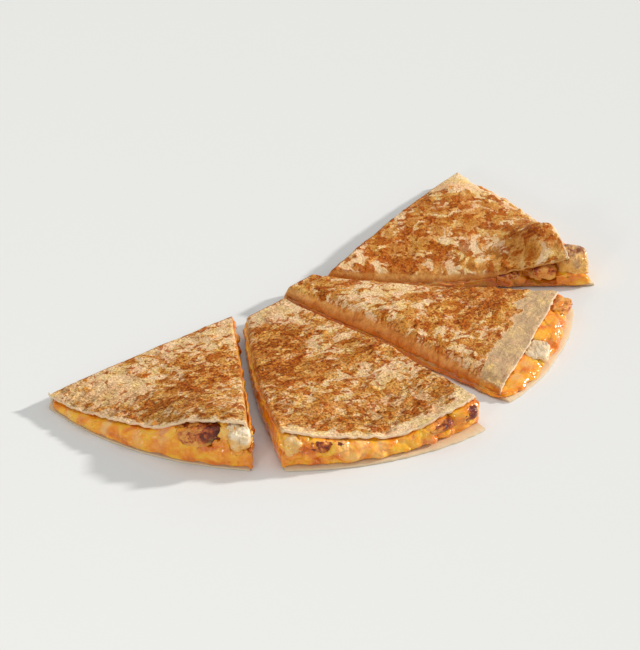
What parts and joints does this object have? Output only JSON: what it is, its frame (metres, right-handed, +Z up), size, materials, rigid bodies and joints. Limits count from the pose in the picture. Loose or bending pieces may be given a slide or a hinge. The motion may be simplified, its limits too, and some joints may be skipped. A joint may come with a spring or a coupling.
{
  "type": "quesadilla",
  "caption": "Toasted flour tortilla folded over melted cheese and grilled chicken, cut into wedges that lie slightly fanned apart in a half moon.",
  "frame": {"origin": "under the middle of the half moon's outline, on the surface it rests on", "axes": "+X along the fold from the first wedge's tip to the last wedge's tip, -Y towards the open arc, +Z up"},
  "size_m": [0.2698, 0.1528, 0.0201],
  "materials": {
    "tortilla": "toasted flour dough, cream with golden-brown patches, dry and faintly wrinkled",
    "cheese": "melted orange and pale yellow cheese, wet and glossy",
    "pale_chicken": "torn white chicken, fibrous and moist",
    "charred_chicken": "grilled chicken, red-brown with dark char, moist"
  },
  "bodies": {
    "root": {"tortilla_wedge_1": "tortilla", "cheese_wedge_1": "cheese", "chicken_wedge_1_charred": "charred_chicken", "chicken_wedge_1_torn": "pale_chicken", "tortilla_wedge_2": "tortilla", "cheese_wedge_2": "cheese", "chicken_wedge_2_corner": "pale_chicken", "chicken_wedge_2_charred": "charred_chicken", "chicken_wedge_2_brown": "charred_chicken", "chicken_wedge_2_seared": "charred_chicken", "tortilla_wedge_3": "tortilla", "cheese_wedge_3": "cheese", "chicken_wedge_3_torn": "pale_chicken", "chicken_wedge_3_charred": "charred_chicken", "tortilla_wedge_4": "tortilla", "cheese_wedge_4": "cheese", "chicken_wedge_4_end": "pale_chicken", "chicken_wedge_4_side": "charred_chicken", "chicken_wedge_4_red": "charred_chicken"}
  },
  "joints": []
}
